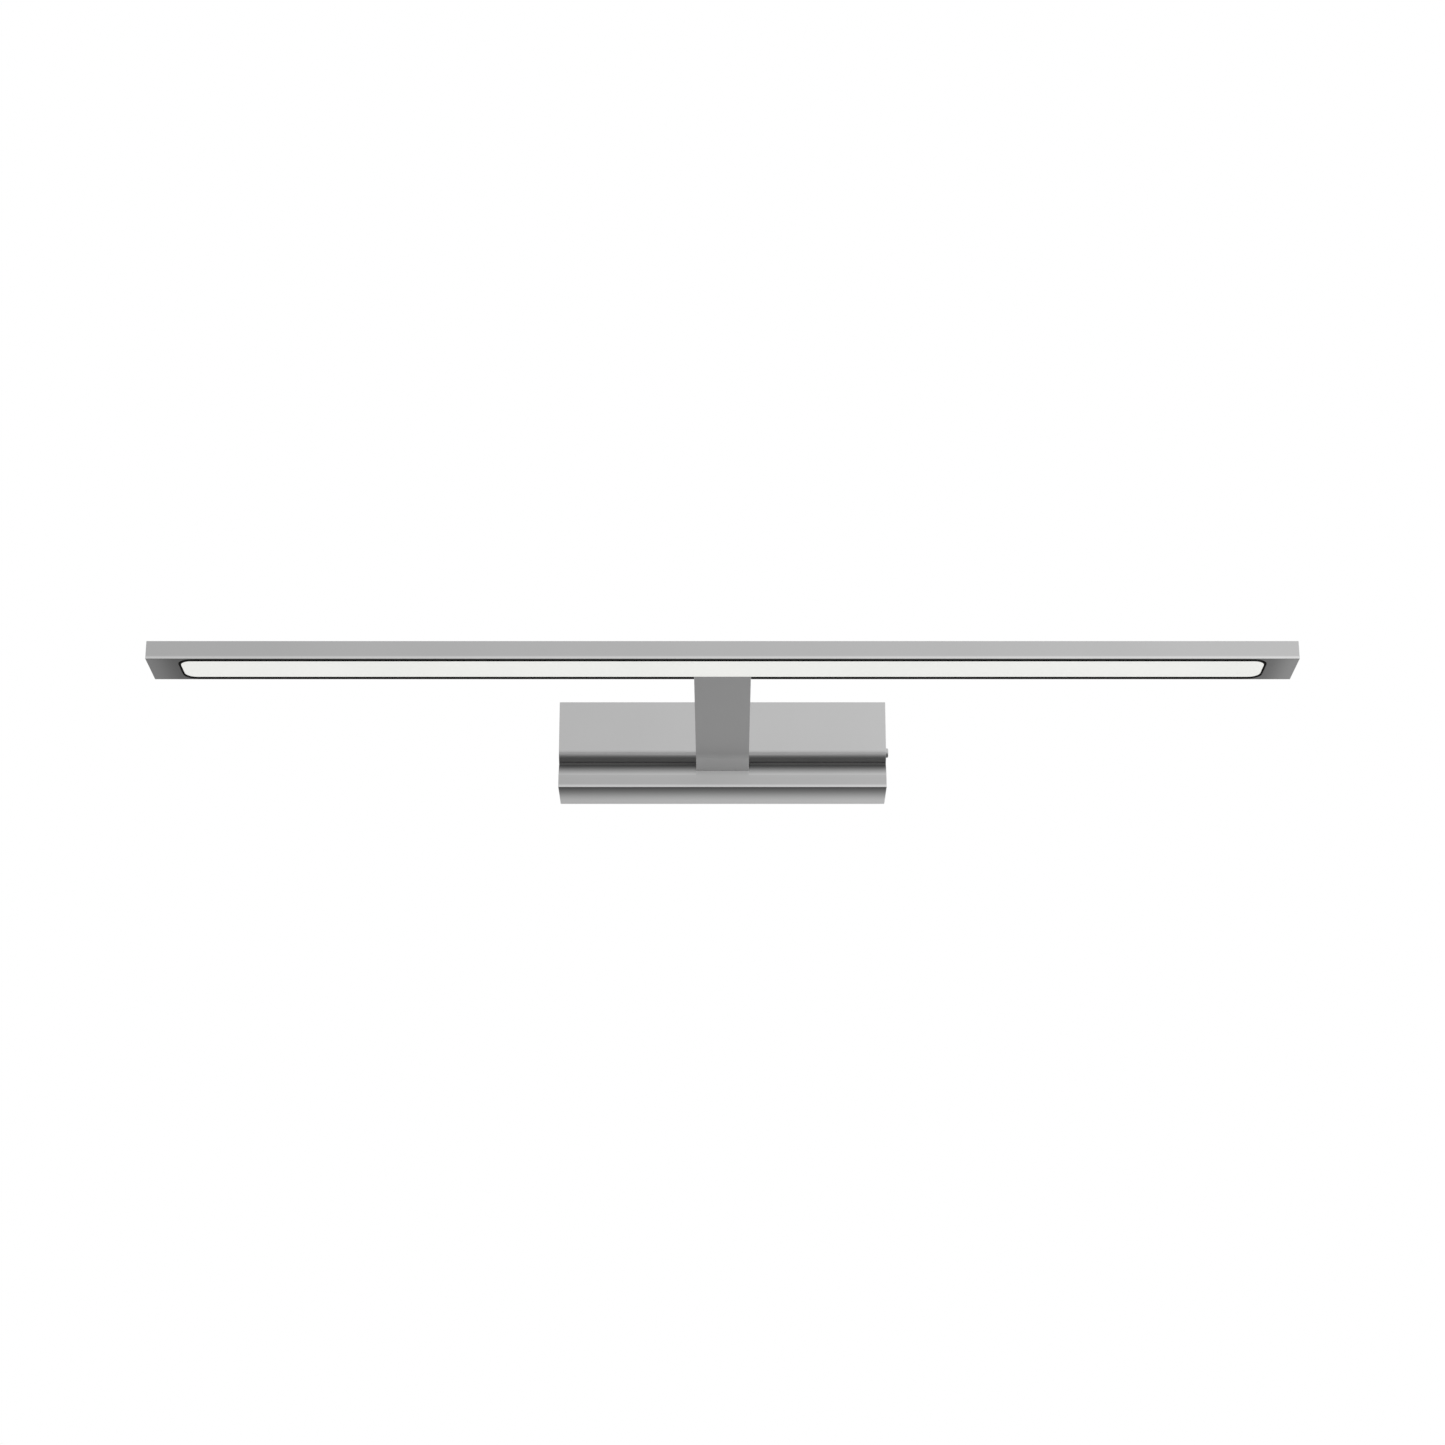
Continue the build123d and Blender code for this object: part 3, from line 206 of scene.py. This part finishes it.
# Over the wall box's height, up from its lower edge
COVER_STRIP_PAINTED_SHADE = Run(0.008, 0.012, 0.87, 1.0)          # painted shade on the front, below the groove
COVER_PAINTED_HIGHLIGHT = Run(0.0008, 0.0024, 1.40, 1.0)      # painted highlight on the front, along the lower edge
COVER_SLOPE_PAINTED_SHADE = Run(0.0065, 0.0155, 1.0, 0.22)        # painted shade on the groove's lower slope
SLOPE_TOP = 0.017                                   # the slope ends below this
SLOPE_LEAN = 0.08                                   # and leans up by more than this
LIP_BOTTOM = 0.003                                  # the lip's painted shade counts above this
# The groove's upper lip, as (how far it leans down, painted shade)
LIP_PAINTED_SHADE = [(0.02, 1.0), (0.25, 0.78), (0.37, 0.76), (0.55, 0.95), (0.62, 0.95), (0.75, 0.80)]


def lean(s, axis, sign):
    """How far the surface faces along an axis, from -1 to 1."""
    normal = s.split(s.node("ShaderNodeNewGeometry").outputs["True Normal"])
    return s.maths("MULTIPLY", normal[axis], sign)


def facing(s, axis, sign):
    """1 where the surface faces along an axis, else 0."""
    return s.maths("GREATER_THAN", lean(s, axis, sign), SQUARE_ON)


def place(s, axis):
    """The object coordinate along an axis, in metres."""
    return s.split(s.coords)[axis]


def stretch(s, value, start, end, first, last):
    """A value's run from start to end turned into a smooth run from first to last."""
    numbers = {"From Min": start, "From Max": end, "To Min": first, "To Max": last}
    return s.mapped(value, numbers, "SMOOTHSTEP")


def along(s, value, edge, run):
    """A run measured from an edge of a part."""
    return stretch(s, value, edge + run.start, edge + run.end, run.first, run.last)


def only(s, mask, factor):
    """A factor where the mask is 1, and 1 elsewhere."""
    return s.maths("MULTIPLY_ADD", mask, s.maths("SUBTRACT", factor, 1.0), 1.0)


def bar_painted_light(s):
    """The bar's painted light: a painted highlight along the front's lower edge, painted shade
    underneath round the window.
    """
    low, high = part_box("bar_housing")
    window_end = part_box("diffuser_gasket")[1][X]
    off_middle = s.maths("ABSOLUTE", place(s, X))
    # painted shade on the underside, darkest round the window's end
    ends = stretch(s, off_middle, window_end - BAR_END_START, high[X], *BAR_END_PAINTED_SHADE)
    rims = along(s, off_middle, window_end, BAR_RIM_PAINTED_SHADE)
    # painted highlight along the front's lower edge
    painted_highlight = along(s, place(s, Z), low[Z], BAR_PAINTED_HIGHLIGHT)
    underside = only(s, facing(s, Z, -1.0), s.maths("MULTIPLY", ends, rims))
    return s.maths("MULTIPLY", underside, only(s, facing(s, Y, -1.0), painted_highlight))


def arm_painted_light(s):
    """The arm's painted light: painted shade underneath, with painted light close to the wall box."""
    front_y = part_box("canopy_shell")[0][Y]
    return only(s, facing(s, Z, -1.0), along(s, place(s, Y), front_y, ARM_FOOT_PAINTED_LIGHT))


def groove_slope_mask(s, height, bottom):
    """1 on the groove's lower slope, else 0."""
    below_top = s.maths("LESS_THAN", height, bottom + SLOPE_TOP)
    return s.maths("MULTIPLY", s.maths("GREATER_THAN", lean(s, Z, 1.0), SLOPE_LEAN), below_top)


def under_arm_mask(s, height):
    """1 on the wall box below the arm, else 0."""
    arm_low, arm_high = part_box("arm_tube")
    off_middle = s.maths("ABSOLUTE", place(s, X))
    in_width = along(s, off_middle, arm_high[X], ARM_SIDE)
    return s.maths("MULTIPLY", in_width, s.maths("LESS_THAN", height, arm_low[Z]))


def cover_painted_light(s):
    """The wall box's painted light: painted shade in the groove, under the arm and at the underside's
    front, and a painted highlight along the front's lower edge.
    """
    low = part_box("canopy_shell")[0]
    arm_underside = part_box("arm_tube")[0][Z]
    height = place(s, Z)
    strip = along(s, height, low[Z], COVER_STRIP_PAINTED_SHADE)
    # painted highlight along the front's lower edge
    painted_highlight = along(s, height, low[Z], COVER_PAINTED_HIGHLIGHT)
    in_groove = s.maths("GREATER_THAN", height, low[Z] + LIP_BOTTOM)
    # painted shade on the underside, strip, groove and below the arm; painted highlight along the lower
    # edge
    factors = (
        only(s, facing(s, Z, -1.0), along(s, place(s, Y), low[Y], COVER_UNDERSIDE_PAINTED_SHADE)),
        only(s, facing(s, Y, -1.0), s.maths("MULTIPLY", strip, painted_highlight)),
        only(s, groove_slope_mask(s, height, low[Z]), along(s, height, low[Z], COVER_SLOPE_PAINTED_SHADE)),
        only(s, in_groove, s.grey_ramp(lean(s, Z, -1.0), LIP_PAINTED_SHADE)),
        only(s, under_arm_mask(s, height), along(s, height, arm_underside, ARM_PAINTED_SHADOW)),
    )
    painted_light = factors[0]
    for factor in factors[1:]:
        painted_light = s.maths("MULTIPLY", painted_light, factor)
    return painted_light


# Materials -----------------------------------------------------------------------------------

class Finish(NamedTuple):
    """How a family of surfaces varies: noise scales and details, and how strongly they show."""

    patches: tuple          # scale and detail of the faint patches of colour
    patch_shade: float      # the darkest patch, as a share of the colour
    grain_detail: float
    smoother: float         # roughness below and above the material's own
    rougher: float
    relief: float           # strength of the grain's bumps


ANODISED = Finish((14.0, 2.0), 0.965, 2.0, 0.05, 0.05, 0.10)
PLASTIC = Finish((60.0, 3.0), 0.86, 2.0, 0.07, 0.07, 0.25)
METAL = Finish((120.0, 2.0), 0.80, 4.0, 0.08, 0.10, 0.15)
ANODISED_GRAIN = 5200.0
PLASTIC_GRAIN = 2500.0
METAL_GRAIN = 900.0
PLASTIC_GLOSS = 0.5

OPAL_BASE = ((0.90, 0.905, 0.885), (0.87, 0.88, 0.86))      # lighter and darker patches
OPAL_GLOW = ((1.0, 1.0, 0.97), (0.97, 0.98, 0.94))
OPAL_PATCHES = (25.0, 2.0)
OPAL_GRAIN = (3000.0, 2.0)
OPAL_RELIEF = 0.08
OPAL_ROUGHNESS = 0.38
OPAL_STRENGTH = 0.36


def apply_finish(s, finish, colour, roughness, grain_scale, painted_light=None):
    """Colour with faint patches and any painted light and shade, and a roughness and relief that follow
    the grain.
    """
    patches = s.noise(*finish.patches)
    grain = s.noise(grain_scale, finish.grain_detail)
    dark = tuple(finish.patch_shade * channel for channel in colour)
    base = s.ramp(patches, shade(colour, dark))
    # painted light and shade, multiplied into the base colour
    if painted_light is not None:
        base = s.tinted(base, painted_light(s))
    s.link(base, s.bsdf.inputs["Base Color"])
    span = {"To Min": roughness - finish.smoother, "To Max": roughness + finish.rougher}
    s.link(s.mapped(grain, span), s.bsdf.inputs["Roughness"])
    s.bump(grain, finish.relief)


def anodised(name, colour, roughness, painted_light=None):
    """Satin anodised aluminium: fine blasted grain under a thin oxide layer."""
    s = Shader(name)
    s.bsdf.inputs["Metallic"].default_value = 1.0
    apply_finish(s, ANODISED, colour, roughness, ANODISED_GRAIN, painted_light)
    return s.material


def plastic(name, colour, roughness, grain_scale=PLASTIC_GRAIN, gloss=PLASTIC_GLOSS):
    """Moulded plastic or rubber: a fine spark-eroded grain and faint flow marks."""
    s = Shader(name)
    s.bsdf.inputs["Specular IOR Level"].default_value = gloss
    apply_finish(s, PLASTIC, colour, roughness, grain_scale)
    return s.material


def metal(name, colour, roughness):
    """Plated or drawn metal with fine marks."""
    s = Shader(name)
    s.bsdf.inputs["Metallic"].default_value = 1.0
    apply_finish(s, METAL, colour, roughness, METAL_GRAIN)
    return s.material


def opal(name):
    """Opal acrylic lit from behind."""
    s = Shader(name)
    patches = s.noise(*OPAL_PATCHES)
    s.link(s.ramp(patches, shade(*OPAL_BASE)), s.bsdf.inputs["Base Color"])
    s.bsdf.inputs["Roughness"].default_value = OPAL_ROUGHNESS
    s.bsdf.inputs["Emission Strength"].default_value = OPAL_STRENGTH
    s.link(s.ramp(patches, shade(*OPAL_GLOW)), s.bsdf.inputs["Emission Color"])
    s.bump(s.noise(*OPAL_GRAIN), OPAL_RELIEF)
    return s.material


# Each row is a material slot of the record, then what its function takes after the name
ANODISED_SLOTS = (
    ("bar_aluminium", (0.69, 0.69, 0.69), 0.30, bar_painted_light),
    ("arm_aluminium", (0.75, 0.75, 0.75), 0.30, arm_painted_light),
    ("cover_aluminium", (0.75, 0.75, 0.75), 0.30, cover_painted_light),
    ("button_metal", (0.66, 0.66, 0.66), 0.28),
)
PLASTIC_SLOTS = (
    ("board_aluminium", (0.85, 0.85, 0.83), 0.45),
    ("black_silicone", (0.010, 0.010, 0.010), 0.70, 1800.0, 0.04),
    # dark_inlay: its dark grey is painted shade for the groove's floor
    ("dark_inlay", (0.10, 0.10, 0.10), 0.50),
    ("thermal_tape", (0.75, 0.75, 0.72), 0.60),
    ("chip_phosphor", (0.90, 0.75, 0.30), 0.30),
    ("chip_black", (0.02, 0.02, 0.02), 0.45),
    ("white_plastic", (0.80, 0.80, 0.77), 0.42),
    ("black_plastic", (0.025, 0.025, 0.025), 0.45),
    ("circuit_laminate", (0.04, 0.20, 0.08), 0.35),
    ("ferrite", (0.05, 0.05, 0.05), 0.70),
    ("winding_tape", (0.70, 0.52, 0.08), 0.30),
    ("capacitor_sleeve", (0.03, 0.04, 0.07), 0.20),
    ("foam_tape", (0.09, 0.09, 0.09), 0.85, 900.0),
    ("wire_red", (0.55, 0.03, 0.03), 0.35),
    ("wire_black", (0.02, 0.02, 0.02), 0.35),
    ("wire_blue", (0.04, 0.12, 0.50), 0.35),
    ("wire_brown", (0.22, 0.09, 0.03), 0.35),
    ("wire_green_yellow", (0.25, 0.50, 0.05), 0.35),
)
METAL_SLOTS = (
    ("zinc_steel", (0.62, 0.62, 0.60), 0.30),
    ("brass", (0.78, 0.60, 0.30), 0.25),
    ("spring_steel", (0.50, 0.50, 0.50), 0.25),
)


def make_materials():
    """One material for each slot of the record."""
    materials = {"opal_plastic": opal("opal_plastic")}
    for make, rows in ((anodised, ANODISED_SLOTS), (plastic, PLASTIC_SLOTS), (metal, METAL_SLOTS)):
        for name, *look in rows:
            materials[name] = make(name, *look)
    return materials


def dress_nodes(frame, materials):
    """Gives every CAD node the material of its slot."""
    for part in frame["record"]["subparts"]:
        mesh_object = frame["nodes"][part["node"]]
        material = materials[part["material_slot"]]
        for slot in mesh_object.material_slots:
            slot.material = material
        if not mesh_object.material_slots:
            mesh_object.data.materials.append(material)


def make_spring(frame, material):
    """The button's coil spring as its own piece on the fixture, in place of the hidden CAD node."""
    spring = bpy.data.objects.new("button_coil", frame["nodes"]["switch_spring"].data.copy())
    bpy.context.collection.objects.link(spring)
    spring.data.materials.clear()
    spring.data.materials.append(material)
    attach(spring, "fixture")
    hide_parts("switch_spring")
    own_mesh(spring)


# Studio --------------------------------------------------------------------------------------

def make_floor():
    """A plain pale floor well below the light, left out of mirror images."""
    half = FLOOR_SIZE / 2
    outline = [
        (-half, -half, FLOOR_Z),
        (half, -half, FLOOR_Z),
        (half, half, FLOOR_Z),
        (-half, half, FLOOR_Z),
    ]
    mesh = bpy.data.meshes.new("floor")
    mesh.from_pydata(outline, [], [(0, 1, 2, 3)])
    floor = bpy.data.objects.new("floor", mesh)
    bpy.context.collection.objects.link(floor)
    s = Shader("floor_paint")
    s.link(s.ramp(s.noise(*FLOOR_PATCHES), shade(FLOOR_LIGHT, FLOOR_DARK)), s.bsdf.inputs["Base Color"])
    s.bsdf.inputs["Roughness"].default_value = FLOOR_ROUGHNESS
    mesh.materials.append(s.material)
    floor.visible_glossy = False


def make_world():
    """A white backdrop for the camera, and a soft room that is bright above and dim below."""
    world = bpy.data.worlds.new("studio")
    world.use_nodes = True
    bpy.context.scene.world = world
    world.node_tree.nodes.clear()
    room_graph = Graph(world.node_tree)
    direction = room_graph.split(room_graph.node("ShaderNodeTexCoord").outputs["Generated"])
    height = room_graph.mapped(direction["Z"], {"From Min": -1.0})
    brightness = room_graph.grey_ramp(height, ROOM_LIGHT)
    side = room_graph.mapped(direction["X"], SIDE_LIGHT)
    room = room_graph.node("ShaderNodeBackground")
    room_graph.link(room_graph.maths("MULTIPLY", brightness, side), room.inputs["Strength"])
    backdrop = room_graph.node("ShaderNodeBackground")
    backdrop.inputs["Color"].default_value = BACKDROP
    mix = room_graph.node("ShaderNodeMixShader")
    seen = room_graph.node("ShaderNodeLightPath").outputs["Is Camera Ray"]
    for source, socket in zip((seen, room.outputs[0], backdrop.outputs[0]), mix.inputs):
        room_graph.link(source, socket)
    room_graph.link(mix.outputs[0], room_graph.node("ShaderNodeOutputWorld").inputs["Surface"])


def make_camera():
    """The camera, turned from straight down to level and then tilted up."""
    data = bpy.data.cameras.new("camera")
    data.sensor_width = SENSOR_WIDTH
    data.lens = LENS
    camera = bpy.data.objects.new("camera", data)
    bpy.context.collection.objects.link(camera)
    camera.location = CAMERA_PLACE
    camera.rotation_euler = (math.radians(LEVEL + CAMERA_TILT), 0.0, 0.0)
    bpy.context.scene.camera = camera


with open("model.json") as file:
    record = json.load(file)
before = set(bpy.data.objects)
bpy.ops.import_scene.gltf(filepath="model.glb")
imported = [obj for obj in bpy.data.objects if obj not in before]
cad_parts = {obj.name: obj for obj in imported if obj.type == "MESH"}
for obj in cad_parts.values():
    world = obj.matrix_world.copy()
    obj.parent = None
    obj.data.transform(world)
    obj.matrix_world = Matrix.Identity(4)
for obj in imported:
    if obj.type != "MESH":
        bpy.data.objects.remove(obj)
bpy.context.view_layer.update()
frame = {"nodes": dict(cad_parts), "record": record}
bpy.context.scene.view_settings.view_transform = "Standard"

for name in UNMIRRORED:
    frame["nodes"][name].visible_glossy = False
make_camera()
make_world()
make_floor()
materials = make_materials()
dress_nodes(frame, materials)
make_spring(frame, materials["spring_steel"])
